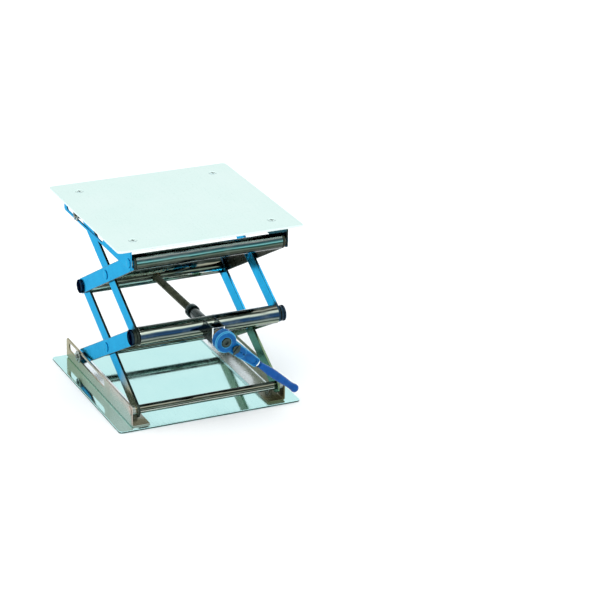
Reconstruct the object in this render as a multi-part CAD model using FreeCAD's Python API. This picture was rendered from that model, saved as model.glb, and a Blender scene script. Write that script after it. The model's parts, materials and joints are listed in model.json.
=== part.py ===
"""Two-stage scissor lab jack raised by a lead screw with a ratchet lever.

Millimetres, +Z up.  The origin is the centre of the base plate's underside.
+X is to the right and -Y is the side of the ratchet lever.  Every length below
is the jack at the height where its arms slope at arm_angle_deg.
"""
import FreeCAD
import Part

import math
import os

from FreeCAD import Vector

# ---- driving dimensions --------------------------------------------------
plate_side = 200.0
plate_thickness = 2.0
plate_corner_radius = 4.0
edge_break = 0.35             # small chamfer on the sheet edges

arm_length = 165.0            # from end pivot to end pivot
arm_angle_deg = 29.0          # slope of the arms
arm_half_width = 8.0
arm_thickness = 2.5
inner_arm_x = 75.8            # inside face of the inner arms
outer_arm_x = 79.1            # inside face of the outer arms

pivot_offset = 18.0           # from a plate's outer face to the axle beside it
front_y = -88.0               # the column of fixed pivots

rail_web_x = 85.0             # outside face of a rail
rail_sheet = 1.5
rail_flange = 20.0
rail_height = 25.0            # from the plate's outer face
rail_half_length = 94.0
slot_front_y = -14.0
slot_rear_y = 82.0
slot_half_height = 4.3

screw_grid = 75.0             # plate screws stand at plus and minus this
screw_radius = 2.0
screw_head_radius = 4.0
nut_across_flats = 7.0
nut_height = 3.2

stub_radius = 3.0             # every pivot pin
running_clearance = 0.06
rivet_head_radius = 5.0
rivet_head_height = 1.2
slide_axle_radius = 4.0
front_axle_radius = 4.5

front_bar_radius = 9.5
rear_bar_radius = 9.0
top_bar_radius = 8.0
bar_wall = 1.5
mid_bar_half_length = 75.5
top_bar_half_length = 78.8
front_cap_radius = 8.2
rear_cap_radius = 7.3
cap_x = 81.9
cap_thickness = 2.4

spindle_radius = 4.0
spindle_front_y = -134.0
spindle_rear_y = 91.6
end_stop_length = 4.0
end_stop_radius = 6.5

yoke_half_width = 7.0
yoke_half_height = 9.0
yoke_sheet = 1.5
yoke_front_y = -117.0
yoke_front_sheet = 2.0
sleeve_radius = 5.6           # plain bearing pressed through the front bar
sleeve_front_y = -98.6
sleeve_rear_y = -52.6
collar_front_y = -52.4

lever_angle_deg = 40.0        # below +X, seen from the lever's side
head_radius = 11.5
head_front_y = -134.6
head_back_y = -126.0
cover_thickness = 1.4
wheel_tip_radius = 8.0
wheel_root_radius = 6.7
wheel_teeth = 18
cavity_radius = 8.7
pawl_x = 13.0                 # pawl pivot, along the lever from the spindle
shank_end_x = 46.0
grip_start_x = 50.0
lever_reach = 106.0

# ---- worked out from the driving dimensions --------------------------------
stage = arm_length * math.sin(math.radians(arm_angle_deg))
rear_y = front_y + arm_length * math.cos(math.radians(arm_angle_deg))
low_z = pivot_offset
mid_z = low_z + stage
high_z = mid_z + stage
height = high_z + pivot_offset
cross_y = (front_y + rear_y) / 2
inner_arm_face = inner_arm_x + arm_thickness
outer_arm_face = outer_arm_x + arm_thickness
web_inside_x = rail_web_x - rail_sheet


# ---- shape helpers -----------------------------------------------------------
def box(x, y, z):
    """Block between the (low, high) pairs x, y and z."""
    corner = Vector(x[0], y[0], z[0])
    return Part.makeBox(x[1] - x[0], y[1] - y[0], z[1] - z[0], corner)


def rod_x(radius, x_low, x_high, y, z):
    return Part.makeCylinder(radius, x_high - x_low, Vector(x_low, y, z), Vector(1, 0, 0))


def rod_y(radius, y_low, y_high, x=0.0, z=0.0):
    return Part.makeCylinder(radius, y_high - y_low, Vector(x, y_low, z), Vector(0, 1, 0))


def rod_z(radius, z_low, z_high, x, y):
    return Part.makeCylinder(radius, z_high - z_low, Vector(x, y, z_low), Vector(0, 0, 1))


def ring_x(outer, inner, x_low, x_high, y, z):
    return rod_x(outer, x_low, x_high, y, z).cut(rod_x(inner, x_low - 1, x_high + 1, y, z))


def ring_y(outer, inner, y_low, y_high, x=0.0, z=0.0):
    return rod_y(outer, y_low, y_high, x, z).cut(rod_y(inner, y_low - 1, y_high + 1, x, z))


def fused(shapes):
    """One clean solid from touching shapes."""
    return shapes[0].fuse(shapes[1:]).removeSplitter()


def other_side(shape):
    """The same piece on the left, mirrored across X = 0."""
    return shape.mirror(Vector(0, 0, 0), Vector(1, 0, 0))


def both_sides(shape):
    return Part.makeCompound([shape, other_side(shape)])


def upside_down(shape):
    """The same piece under the top plate, mirrored at half height."""
    return shape.mirror(Vector(0, 0, height / 2), Vector(0, 0, 1))


def slot_shape(x_low, x_high, start, end, radius):
    """Plate across X with a slot-shaped outline between two (y, z) centres."""
    first = Vector(x_low, start[0], start[1])
    last = Vector(x_low, end[0], end[1])
    along = (last - first).normalize() * radius
    across = Vector(0, -along.z, along.y)
    edges = [
        Part.LineSegment(first + across, last + across),
        Part.Arc(last + across, last + along, last - across),
        Part.LineSegment(last - across, first - across),
        Part.Arc(first - across, first - along, first + across),
    ]
    outline = Part.Wire([edge.toShape() for edge in edges])
    return Part.Face(outline).extrude(Vector(x_high - x_low, 0, 0))


def save(name, shape):
    shape.exportStep(os.path.join("parts", name + ".step"))


# ---- plates, rails and their screws --------------------------------------------
def screw_places():
    return [(x, y) for x in (-screw_grid, screw_grid) for y in (-screw_grid, screw_grid)]


def countersunk_screw(x, y):
    """Screw up through the base, its flat cross-slotted head flush underneath."""
    head = Part.makeCone(screw_head_radius, screw_radius, plate_thickness, Vector(x, y, 0))
    shank = rod_z(screw_radius, plate_thickness, plate_thickness + rail_sheet + nut_height + 1, x, y)
    slot_half_length = 2.4
    slot_half_width = 0.45
    slot_depth = 0.9
    long_way = (-slot_half_length, slot_half_length)
    short_way = (-slot_half_width, slot_half_width)
    recess = box(long_way, short_way, (-1, slot_depth)).fuse(box(short_way, long_way, (-1, slot_depth)))
    recess.translate(Vector(x, y, 0))
    return fused([head, shank]).cut(recess)


def hex_nut(x, y):
    low = plate_thickness + rail_sheet
    corner_radius = nut_across_flats / math.sqrt(3)
    turns = [math.radians(60 * k) for k in range(7)]
    corners = [Vector(x + corner_radius * math.cos(t), y + corner_radius * math.sin(t), low) for t in turns]
    prism = Part.Face(Part.makePolygon(corners)).extrude(Vector(0, 0, nut_height))
    return prism.cut(rod_z(screw_radius, low - 1, low + nut_height + 1, x, y))


def flat_outline(shape, axis, places):
    """Edges of a sheet that lie wholly in one of its two faces, at these places along axis."""
    def lies_in_face(edge):
        low = edge.BoundBox.XMin if axis == "x" else edge.BoundBox.ZMin
        high = edge.BoundBox.XMax if axis == "x" else edge.BoundBox.ZMax
        return any(abs(low - p) < 0.01 and abs(high - p) < 0.01 for p in places)
    return [edge for edge in shape.Edges if lies_in_face(edge)]


def plate():
    """Base plate, with countersunk holes that open downwards."""
    half = plate_side / 2
    sheet = box((-half, half), (-half, half), (0, plate_thickness))
    upright = [e for e in sheet.Edges if abs(e.tangentAt(e.FirstParameter).z) > 0.9]
    sheet = sheet.makeFillet(plate_corner_radius, upright)
    sheet = sheet.makeChamfer(edge_break, flat_outline(sheet, "z", (0, plate_thickness)))
    for x, y in screw_places():
        sheet = sheet.cut(Part.makeCone(screw_head_radius, screw_radius, plate_thickness, Vector(x, y, 0)))
    return sheet


def rail_section():
    """Bent angle section at the rear end of a right-hand base rail."""
    y = rail_half_length
    low = plate_thickness
    bend = 2.5
    inside_bend = bend - rail_sheet
    diagonal = math.sqrt(0.5)
    outer_centre = Vector(rail_web_x - bend, y, low + bend)
    outer_middle = outer_centre + Vector(bend * diagonal, 0, -bend * diagonal)
    inner_middle = outer_centre + Vector(inside_bend * diagonal, 0, -inside_bend * diagonal)
    flange_tip = rail_web_x - rail_flange
    points = [
        Vector(flange_tip, y, low),
        Vector(outer_centre.x, y, low),
        Vector(rail_web_x, y, outer_centre.z),
        Vector(rail_web_x, y, rail_height),
        Vector(web_inside_x, y, rail_height),
        Vector(web_inside_x, y, outer_centre.z),
        Vector(outer_centre.x, y, low + rail_sheet),
        Vector(flange_tip, y, low + rail_sheet),
    ]
    edges = [
        Part.LineSegment(points[0], points[1]),
        Part.Arc(points[1], outer_middle, points[2]),
        Part.LineSegment(points[2], points[3]),
        Part.LineSegment(points[3], points[4]),
        Part.LineSegment(points[4], points[5]),
        Part.Arc(points[5], inner_middle, points[6]),
        Part.LineSegment(points[6], points[7]),
        Part.LineSegment(points[7], points[0]),
    ]
    return Part.Face(Part.Wire([edge.toShape() for edge in edges]))


def rail():
    """Right-hand base rail: a bent angle with a slot for the sliding axle."""
    angle = rail_section().extrude(Vector(0, -2 * rail_half_length, 0))
    end_radius = 3.0
    side_view = box((0, 100), (-rail_half_length, rail_half_length), (-10, rail_height))
    upper = [e for e in side_view.Edges if abs(e.CenterOfMass.z - rail_height) < 0.1 and e.Length < 101]
    side_view = side_view.makeFillet(end_radius, [e for e in upper if abs(e.tangentAt(0).x) > 0.9])
    slot = slot_shape(80, 90, (slot_front_y, low_z), (slot_rear_y, low_z), slot_half_height)
    axle_hole = rod_x(stub_radius, 80, 90, front_y, low_z)
    screw_holes = [rod_z(screw_radius + 0.1, 0, 10, screw_grid, y) for y in (-screw_grid, screw_grid)]
    return angle.common(side_view).cut([slot, axle_hole] + screw_holes)


def make_frame(name, place):
    """A plate with its two rails, screws and nuts; place puts each piece where it goes."""
    right_rail = place(rail())
    screws = [countersunk_screw(x, y) for x, y in screw_places()]
    nuts = [hex_nut(x, y) for x, y in screw_places()]
    save(name + "_plate", place(plate()))
    save(name + "_rail_right", right_rail)
    save(name + "_rail_left", other_side(right_rail))
    save(name + "_plate_screws_and_nuts", place(Part.makeCompound(screws + nuts)))


# ---- scissor arms and their crossing rivets ---------------------------------------
def arm(x_low, start, end, hole_radii):
    """Right-hand arm between two pivots, with holes at its start, middle and end."""
    x_high = x_low + arm_thickness
    bar = slot_shape(x_low, x_high, start, end, arm_half_width)
    bar = bar.makeChamfer(edge_break, flat_outline(bar, "x", (x_low, x_high)))
    middle = ((start[0] + end[0]) / 2, (start[1] + end[1]) / 2)
    centres = (start, middle, end)
    holes = [rod_x(r, x_low - 1, x_high + 1, c[0], c[1]) for r, c in zip(hole_radii, centres)]
    return bar.cut(holes)


def make_arm_pair(name, x_low, start, end, hole_radii):
    right_arm = arm(x_low, start, end, hole_radii)
    save(name + "_right", right_arm)
    save(name + "_left", other_side(right_arm))


def crossing_rivet(z):
    """Rivet held by the inner arm; the outer arm turns on it."""
    head_gap = 0.12
    outer_head_x = outer_arm_face + head_gap
    inner_head = rod_x(rivet_head_radius, inner_arm_x - rivet_head_height, inner_arm_x, cross_y, z)
    shank = rod_x(stub_radius, inner_arm_x, outer_head_x, cross_y, z)
    outer_head = rod_x(rivet_head_radius, outer_head_x, outer_head_x + rivet_head_height, cross_y, z)
    return fused([inner_head, shank, outer_head])


def arm_washer(y, z):
    """Thin washer in the gap between an inner and an outer arm."""
    gap = 0.2
    return ring_x(7.0, stub_radius + running_clearance, inner_arm_face, outer_arm_x - gap, y, z)


def make_arms():
    pivot_hole = stub_radius + running_clearance
    front_low = (front_y, low_z)
    front_mid = (front_y, mid_z)
    front_high = (front_y, high_z)
    rear_low = (rear_y, low_z)
    rear_mid = (rear_y, mid_z)
    rear_high = (rear_y, high_z)
    lower_inner_holes = (pivot_hole, stub_radius, pivot_hole)
    make_arm_pair("lower_inner_arm", inner_arm_x, front_low, rear_mid, lower_inner_holes)
    lower_outer_holes = (stub_radius, pivot_hole, pivot_hole)
    make_arm_pair("lower_outer_arm", outer_arm_x, rear_low, front_mid, lower_outer_holes)
    upper_outer_holes = (pivot_hole, pivot_hole, pivot_hole)
    make_arm_pair("upper_outer_arm", outer_arm_x, front_high, rear_mid, upper_outer_holes)
    upper_inner_holes = (stub_radius, stub_radius, pivot_hole)
    make_arm_pair("upper_inner_arm", inner_arm_x, rear_high, front_mid, upper_inner_holes)
    low_cross_z = (low_z + mid_z) / 2
    high_cross_z = (mid_z + high_z) / 2
    save("lower_crossing_rivets", both_sides(crossing_rivet(low_cross_z)))
    save("upper_crossing_rivets", both_sides(crossing_rivet(high_cross_z)))
    lower_washers = Part.makeCompound([arm_washer(cross_y, low_cross_z), arm_washer(rear_y, mid_z)])
    upper_washers = Part.makeCompound([arm_washer(cross_y, high_cross_z), arm_washer(front_y, mid_z)])
    save("lower_arm_washers", both_sides(lower_washers))
    save("upper_arm_washers", both_sides(upper_washers))


# ---- axles on the rails ---------------------------------------------------------------
def riveted_axle(radius, half_length, z):
    """Axle with thin ends riveted through both rails."""
    body = rod_x(radius, -half_length, half_length, front_y, z)
    ends = rod_x(stub_radius, -rail_web_x, rail_web_x, front_y, z)
    head = rod_x(rivet_head_radius, rail_web_x, rail_web_x + rivet_head_height, front_y, z)
    return fused([body, ends, head, other_side(head)])


def make_front_axles():
    spacer_gap = 0.15
    save("bottom_front_axle", riveted_axle(front_axle_radius, mid_bar_half_length, low_z))
    low_spacer = ring_x(5.0, stub_radius, inner_arm_face + spacer_gap, web_inside_x, front_y, low_z)
    save("bottom_front_spacers", both_sides(low_spacer))
    save("top_front_axle", riveted_axle(stub_radius, mid_bar_half_length, high_z))
    high_spacer = ring_x(5.0, stub_radius, outer_arm_face + spacer_gap, web_inside_x, front_y, high_z)
    save("top_front_spacers", both_sides(high_spacer))
    inside = top_bar_radius - bar_wall
    tube_ends = (-top_bar_half_length, top_bar_half_length)
    save("top_front_bar", ring_x(top_bar_radius, inside, tube_ends[0], tube_ends[1], front_y, high_z))
    plug_start = top_bar_half_length - 8.0
    plug = ring_x(inside, stub_radius, plug_start, top_bar_half_length, front_y, high_z)
    save("top_front_bar_plugs", both_sides(plug))


def sliding_axle(z):
    """Axle with thin ends that reach through the rails' slots."""
    end_x = 88.0
    body = rod_x(slide_axle_radius, -mid_bar_half_length, mid_bar_half_length, rear_y, z)
    return fused([body, rod_x(stub_radius, -end_x, end_x, rear_y, z)])


def make_sliding_axle(name, z, spacer_low, spacer_high):
    """A sliding axle with its arm spacers, slot rollers and retaining rings."""
    roller_radius = 4.0
    ring_low = rail_web_x + 0.5
    ring_high = ring_low + 1.2
    roller = ring_x(roller_radius, stub_radius, 82.0, ring_low, rear_y, z)
    retaining_ring = ring_x(6.5, stub_radius, ring_low, ring_high, rear_y, z)
    opening = box((ring_low, ring_high), (rear_y - 2.0, rear_y + 2.0), (z - 7, z))
    save(name + "_axle", sliding_axle(z))
    save(name + "_spacers", both_sides(ring_x(5.0, stub_radius, spacer_low, spacer_high, rear_y, z)))
    save(name + "_rollers", both_sides(roller))
    save(name + "_retaining_rings", both_sides(retaining_ring.cut(opening)))


# ---- middle bars -------------------------------------------------------------------------
def bar_plug(radius, y):
    """Plug pressed into a bar's end, with the stub that two arms turn on."""
    plug_length = 14.0
    plug = rod_x(radius, mid_bar_half_length - plug_length, mid_bar_half_length, y, mid_z)
    stub = rod_x(stub_radius, mid_bar_half_length, cap_x, y, mid_z)
    return fused([plug, stub])


def end_cap(radius, y):
    """Domed-edge disc on the end of a stub, outside the arms."""
    disc = rod_x(radius, cap_x, cap_x + cap_thickness, y, mid_z)
    rim = [e for e in disc.Edges if abs(e.CenterOfMass.x - cap_x - cap_thickness) < 0.1 and e.Closed]
    return disc.makeFillet(0.8, rim)


def make_middle_bar(name, radius, y, cap_radius, bore_radius):
    """A tube across the jack, bored through for the spindle, with its end fittings."""
    tube = ring_x(radius, radius - bar_wall, -mid_bar_half_length, mid_bar_half_length, y, mid_z)
    bore = rod_y(bore_radius, y - 2 * radius, y + 2 * radius, 0, mid_z)
    save(name + "_bar", tube.cut(bore))
    save(name + "_bar_plugs", both_sides(bar_plug(radius - bar_wall, y)))
    save(name + "_bar_end_caps", both_sides(end_cap(cap_radius, y)))


def make_spindle_nut():
    """Cross-drilled barrel nut that sits inside the rear bar."""
    half_length = 11.0
    barrel = rod_x(rear_bar_radius - bar_wall, -half_length, half_length, rear_y, mid_z)
    bore = rod_y(spindle_radius + running_clearance, rear_y - 20, rear_y + 20, 0, mid_z)
    save("spindle_nut", barrel.cut(bore))


# ---- spindle, its bearing sleeve and the yoke in front of the bar ------------------------------
def make_yoke():
    """Bent bracket on the front of the bar, the bush in its face, and the bearing sleeve."""
    z_range = (mid_z - yoke_half_height, mid_z + yoke_half_height)
    front_back = yoke_front_y + yoke_front_sheet
    outside = box((-yoke_half_width, yoke_half_width), (yoke_front_y, front_y), z_range)
    upright = [e for e in outside.Edges if abs(e.tangentAt(e.FirstParameter).z) > 0.9]
    front_corners = [e for e in upright if e.CenterOfMass.y < yoke_front_y + 1]
    outside = outside.makeFillet(2.0, front_corners)
    inner_x = yoke_half_width - yoke_sheet
    inside = box((-inner_x, inner_x), (front_back, front_y + 1), (z_range[0] - 1, z_range[1] + 1))
    bar_shape = rod_x(front_bar_radius, -20, 20, front_y, mid_z)
    bush_radius = spindle_radius + 1.2
    bush_hole = rod_y(bush_radius, yoke_front_y - 1, front_back + 1, 0, mid_z)
    save("spindle_yoke", outside.cut([inside, bar_shape, bush_hole]))

    bore = spindle_radius + running_clearance
    flange = 1.4
    bush_sleeve = ring_y(bush_radius, bore, yoke_front_y, yoke_front_y + 6.0, 0, mid_z)
    bush_flange = ring_y(6.8, bore, yoke_front_y - flange, yoke_front_y, 0, mid_z)
    save("yoke_bush", fused([bush_sleeve, bush_flange]))
    save("spindle_sleeve", ring_y(sleeve_radius, bore, sleeve_front_y, sleeve_rear_y, 0, mid_z))


def make_spindle():
    """Lead screw with its thrust parts; its round length stands at the thread's crests."""
    drive_half = 2.6
    drive_back_y = head_back_y - 1
    round_part = rod_y(spindle_radius, drive_back_y, spindle_rear_y - end_stop_length, 0, mid_z)
    across = (-drive_half, drive_half)
    drive = on_lever(box(across, (spindle_front_y, drive_back_y), across))
    tail = rod_y(3.0, spindle_rear_y - end_stop_length, spindle_rear_y, 0, mid_z)
    save("lead_screw", fused([round_part, drive, tail]))
    stop_front_y = spindle_rear_y - end_stop_length
    save("screw_end_stop", ring_y(end_stop_radius, 3.0, stop_front_y, spindle_rear_y, 0, mid_z))

    collar_length = 7.0
    pin_radius = 1.25
    collar_back_y = collar_front_y + collar_length
    pin_y = collar_front_y + collar_length / 2
    collar = ring_y(7.0, spindle_radius, collar_front_y, collar_back_y, 0, mid_z)
    pin = rod_x(pin_radius, -7.6, 7.6, pin_y, mid_z)
    save("thrust_collar", collar.cut(pin))
    ends_only = pin.cut(rod_y(spindle_radius, collar_front_y, collar_back_y, 0, mid_z))
    save("thrust_collar_pin", ends_only)
    washer_back = yoke_front_y - 1.6
    save("thrust_washer", ring_y(6.8, spindle_radius, washer_back - 1.2, washer_back, 0, mid_z))


# ---- ratchet lever, drawn along +X about the spindle and then turned down ------------------------
def on_lever(shape):
    """Turns a piece drawn along +X down to the lever's angle and lifts it to the spindle."""
    shape.rotate(Vector(0, 0, 0), Vector(0, 1, 0), lever_angle_deg)
    shape.translate(Vector(0, 0, mid_z))
    return shape


def ratchet_wheel():
    """Wheel of equal pointed teeth on a hub, with a square drive hole."""
    half_pitch = math.pi / wheel_teeth
    radii = (wheel_tip_radius, wheel_root_radius)
    corners = []
    for k in range(2 * wheel_teeth + 1):
        turn = k * half_pitch
        radius = radii[k % 2]
        corners.append(Vector(radius * math.cos(turn), spindle_front_y, radius * math.sin(turn)))
    width = 6.2
    toothed = Part.Face(Part.makePolygon(corners)).extrude(Vector(0, width, 0))
    hub_back_y = yoke_front_y - 3.0
    hub = rod_y(5.0, spindle_front_y + width, hub_back_y)
    drive_half = 2.6
    across = (-drive_half, drive_half)
    square = box(across, (spindle_front_y - 1, head_back_y - 1), across)
    round_bore = rod_y(spindle_radius, head_back_y - 1, hub_back_y + 1)
    return fused([toothed, hub]).cut([square, round_bore])


def ratchet_body():
    """Round head with a pocket for the wheel and pawl, a tapered shank and a tang."""
    head = rod_y(head_radius, head_front_y, head_back_y)
    root_half = 7.0
    tip_half = 5.0
    root_x = 8.0
    corners = [
        Vector(root_x, head_front_y, -root_half),
        Vector(shank_end_x, head_front_y, -tip_half),
        Vector(shank_end_x, head_front_y, tip_half),
        Vector(root_x, head_front_y, root_half),
        Vector(root_x, head_front_y, -root_half),
    ]
    shank_back_y = head_back_y - 1.0
    shank = Part.Face(Part.makePolygon(corners)).extrude(Vector(0, shank_back_y - head_front_y, 0))
    tip_edges = [e for e in shank.Edges if abs(e.CenterOfMass.x - shank_end_x) < 0.1]
    upright_tips = [e for e in tip_edges if abs(e.tangentAt(e.FirstParameter).y) > 0.9]
    shank = shank.makeFillet(2.5, upright_tips)
    body = fused([head, shank, lever_tang()])
    floor_y = head_back_y - 1.4
    wheel_pocket = rod_y(cavity_radius, head_front_y - 1, floor_y)
    pawl_pocket = rod_y(5.2, head_front_y - 1, floor_y, pawl_x)
    spindle_hole = rod_y(5.0 + running_clearance, floor_y - 1, head_back_y + 1)
    detent_hole = Part.makeCylinder(1.6, 14.0, Vector(pawl_x + 2, shank_mid_y(), 0), Vector(1, 0, 0))
    recess = box((28.5, 42.5), (head_front_y - 1, head_front_y + 1.0), (-3.0, 3.0))
    return body.cut([wheel_pocket, pawl_pocket, spindle_hole, detent_hole, recess])


def shank_mid_y():
    """Middle of the shank's thickness."""
    return (head_front_y + head_back_y - 1.0) / 2


def cover_screw_places():
    """(x, z) of the three screws that hold the ratchet's cover."""
    rim = 9.6
    turns = [math.radians(a) for a in (115, 245)]
    return [(rim * math.cos(t), rim * math.sin(t)) for t in turns] + [(pawl_x + 9.0, 0.0)]


def ratchet_cover():
    """Front plate over the pocket, open at the spindle and at the pawl's shaft."""
    front_y_cover = head_front_y - cover_thickness
    disc = rod_y(head_radius - 0.8, front_y_cover, head_front_y)
    tongue = box((8.0, pawl_x + 8.0), (front_y_cover, head_front_y), (-5.8, 5.8))
    tip = rod_y(5.8, front_y_cover, head_front_y, pawl_x + 8.0)
    plain = fused([disc, tongue, tip])
    openings = [rod_y(5.4, front_y_cover - 1, head_front_y + 1)]
    openings.append(rod_y(2.5 + running_clearance, front_y_cover - 1, head_front_y + 1, pawl_x))
    for x, z in cover_screw_places():
        openings.append(rod_y(0.7, front_y_cover - 1, head_front_y + 1, x, z))
    return plain.cut(openings)


def cover_screw(x, z):
    """Small slotted screw through the cover."""
    front = head_front_y - cover_thickness
    head = rod_y(1.0, front - 0.7, front, x, z)
    shank = rod_y(0.7, front, head_front_y, x, z)
    slot = box((x - 2, x + 2), (front - 1.5, front - 0.4), (z - 0.2, z + 0.2))
    return fused([head, shank]).cut(slot)


def direction_pawl():
    """Two-nosed pawl on its shaft; both noses stop just outside the wheel's teeth."""
    y_low = head_front_y + 0.4
    y_high = head_back_y - 1.7
    hub_radius = 3.2
    hub = rod_y(hub_radius, y_low, y_high, pawl_x)
    tip_x = pawl_x - 3.9
    notch_x = pawl_x - 2.3
    tip_z = 3.1
    corners = [
        Vector(pawl_x, y_low, tip_z),
        Vector(tip_x, y_low, tip_z),
        Vector(notch_x, y_low, 0),
        Vector(tip_x, y_low, -tip_z),
        Vector(pawl_x, y_low, -tip_z),
        Vector(pawl_x, y_low, tip_z),
    ]
    noses = Part.Face(Part.makePolygon(corners)).extrude(Vector(0, y_high - y_low, 0))
    shaft = rod_y(2.5, head_front_y - cover_thickness - 0.3, y_low, pawl_x)
    return fused([hub, noses, shaft])


def direction_lever():
    """Thumb piece on the pawl's shaft, in front of the cover."""
    back = head_front_y - cover_thickness - 0.3
    front = back - 2.4
    knob = rod_y(4.0, front, back, pawl_x)
    tab = box((pawl_x - 1.3, pawl_x + 1.3), (front - 1.2, front), (-6.0, 6.0))
    return fused([knob, tab])


def detent_spring():
    """Small coil that presses the detent ball on the pawl."""
    pitch = 1.3
    length = 9.1
    coil_radius = 1.1
    wire_radius = 0.22
    start = pawl_x + 6.2
    path = Part.makeHelix(pitch, length, coil_radius)
    section = Part.Wire(Part.makeCircle(wire_radius, Vector(coil_radius, 0, 0), Vector(0, 1, 0)))
    coil = Part.Wire(path).makePipeShell([section], True, True)
    coil.rotate(Vector(0, 0, 0), Vector(0, 1, 0), 90)
    coil.translate(Vector(start, shank_mid_y(), 0))
    return coil


def grip():
    """Moulded grip: slim at the ferrule, full in the middle and ending in a knob."""
    waist = [(grip_start_x, 2.9), (56.0, 3.5), (68.0, 4.5), (84.0, 4.1), (94.0, 3.5)]
    curve = Part.BSplineCurve()
    curve.interpolate([Vector(x, r, 0) for x, r in waist])
    knob_radius = 4.4
    knob_x = lever_reach - knob_radius
    knob_side = Vector(knob_x, knob_radius, 0)
    knob_corner = Vector(knob_x + knob_radius * math.sqrt(0.5), knob_radius * math.sqrt(0.5), 0)
    tip = Vector(lever_reach, 0, 0)
    edges = [
        Part.LineSegment(Vector(grip_start_x, 0, 0), Vector(grip_start_x, waist[0][1], 0)).toShape(),
        curve.toShape(),
        Part.LineSegment(Vector(waist[-1][0], waist[-1][1], 0), knob_side).toShape(),
        Part.Arc(knob_side, knob_corner, tip).toShape(),
        Part.LineSegment(tip, Vector(grip_start_x, 0, 0)).toShape(),
    ]
    solid = Part.Face(Part.Wire(edges)).revolve(Vector(0, 0, 0), Vector(1, 0, 0), 360)
    solid.translate(Vector(0, shank_mid_y(), 0))
    return solid.cut(lever_tang()).Solids[0]


def lever_tang():
    """Round end of the shank, inside the ferrule and the grip."""
    return Part.makeCylinder(2.3, 44.0, Vector(shank_end_x, shank_mid_y(), 0), Vector(1, 0, 0))


def ferrule():
    """Bright ring between the shank and the grip."""
    length = grip_start_x - shank_end_x
    start = Vector(shank_end_x, shank_mid_y(), 0)
    return Part.makeCylinder(3.6, length, start, Vector(1, 0, 0)).cut(lever_tang())


def wheel_screw():
    """Socket-head screw that holds the wheel on the spindle's end."""
    head = rod_y(4.6, spindle_front_y - 2.2, spindle_front_y)
    turns = [math.radians(60 * k) for k in range(7)]
    socket_radius = 2.3
    front = spindle_front_y - 2.2
    corners = [Vector(socket_radius * math.cos(t), front, socket_radius * math.sin(t)) for t in turns]
    return head.cut(Part.Face(Part.makePolygon(corners)).extrude(Vector(0, 1.5, 0)))


def make_ratchet():
    screws = Part.makeCompound([cover_screw(x, z) for x, z in cover_screw_places()])
    ball = Part.makeSphere(1.5, Vector(pawl_x + 4.8, shank_mid_y(), 0))
    save("ratchet_wheel", on_lever(ratchet_wheel()))
    save("ratchet_wheel_screw", on_lever(wheel_screw()))
    save("ratchet_body", on_lever(ratchet_body()))
    save("ratchet_cover", on_lever(ratchet_cover()))
    save("ratchet_cover_screws", on_lever(screws))
    save("direction_pawl", on_lever(direction_pawl()))
    save("direction_lever", on_lever(direction_lever()))
    save("detent_ball", on_lever(ball))
    save("detent_spring", on_lever(detent_spring()))
    save("lever_ferrule", on_lever(ferrule()))
    save("lever_grip", on_lever(grip()))


# ---- the whole jack ----------------------------------------------------------------------------------
os.makedirs("parts", exist_ok=True)
make_frame("base", lambda shape: shape)
make_frame("top", upside_down)
make_arms()
make_front_axles()
make_sliding_axle("bottom_slide", low_z, inner_arm_x, outer_arm_x - 0.3)
make_sliding_axle("top_slide", high_z, inner_arm_face + 0.3, 82.0)
make_middle_bar("front", front_bar_radius, front_y, front_cap_radius, sleeve_radius)
make_middle_bar("rear", rear_bar_radius, rear_y, rear_cap_radius, spindle_radius + 1.0)
make_spindle_nut()
make_yoke()
make_spindle()
make_ratchet()
print("height", round(height, 3), "rear pivots at y", round(rear_y, 3), "stage", round(stage, 3))
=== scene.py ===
"""Looks of a two-stage scissor lab jack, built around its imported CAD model.

Everything is in metres in the CAD's own frame: +Z up, the ratchet lever at -Y.
"""

import json
import math

import bpy
from mathutils import Matrix, Vector
from mathutils.geometry import delaunay_2d_cdt


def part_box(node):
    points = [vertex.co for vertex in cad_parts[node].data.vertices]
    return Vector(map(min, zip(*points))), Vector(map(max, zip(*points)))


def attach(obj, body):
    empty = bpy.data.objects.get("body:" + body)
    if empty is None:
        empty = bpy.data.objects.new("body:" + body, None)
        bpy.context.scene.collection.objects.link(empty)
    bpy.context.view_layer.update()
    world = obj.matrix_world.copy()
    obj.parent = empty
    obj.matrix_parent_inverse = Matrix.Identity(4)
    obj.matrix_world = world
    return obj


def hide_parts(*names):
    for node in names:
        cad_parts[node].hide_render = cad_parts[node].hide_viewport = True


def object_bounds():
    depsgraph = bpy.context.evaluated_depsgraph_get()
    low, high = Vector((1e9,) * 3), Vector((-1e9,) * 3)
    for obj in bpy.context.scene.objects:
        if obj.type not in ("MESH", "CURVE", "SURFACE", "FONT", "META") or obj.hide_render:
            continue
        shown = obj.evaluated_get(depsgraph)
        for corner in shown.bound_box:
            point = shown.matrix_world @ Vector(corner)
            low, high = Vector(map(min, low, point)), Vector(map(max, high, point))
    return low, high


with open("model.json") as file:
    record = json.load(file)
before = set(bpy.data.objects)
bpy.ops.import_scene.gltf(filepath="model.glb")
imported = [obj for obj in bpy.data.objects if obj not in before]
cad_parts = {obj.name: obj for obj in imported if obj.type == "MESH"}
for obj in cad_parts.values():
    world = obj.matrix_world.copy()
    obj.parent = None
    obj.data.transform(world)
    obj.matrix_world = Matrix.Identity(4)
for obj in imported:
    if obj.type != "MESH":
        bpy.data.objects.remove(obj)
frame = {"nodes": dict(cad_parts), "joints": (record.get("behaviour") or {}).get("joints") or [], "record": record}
cad_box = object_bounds()
scene = bpy.context.scene

MM = 0.001
ROUND_SEGMENTS = 96
PIVOT_GAP = 0.06 * MM
FLAT_BLEND = 90

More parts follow.
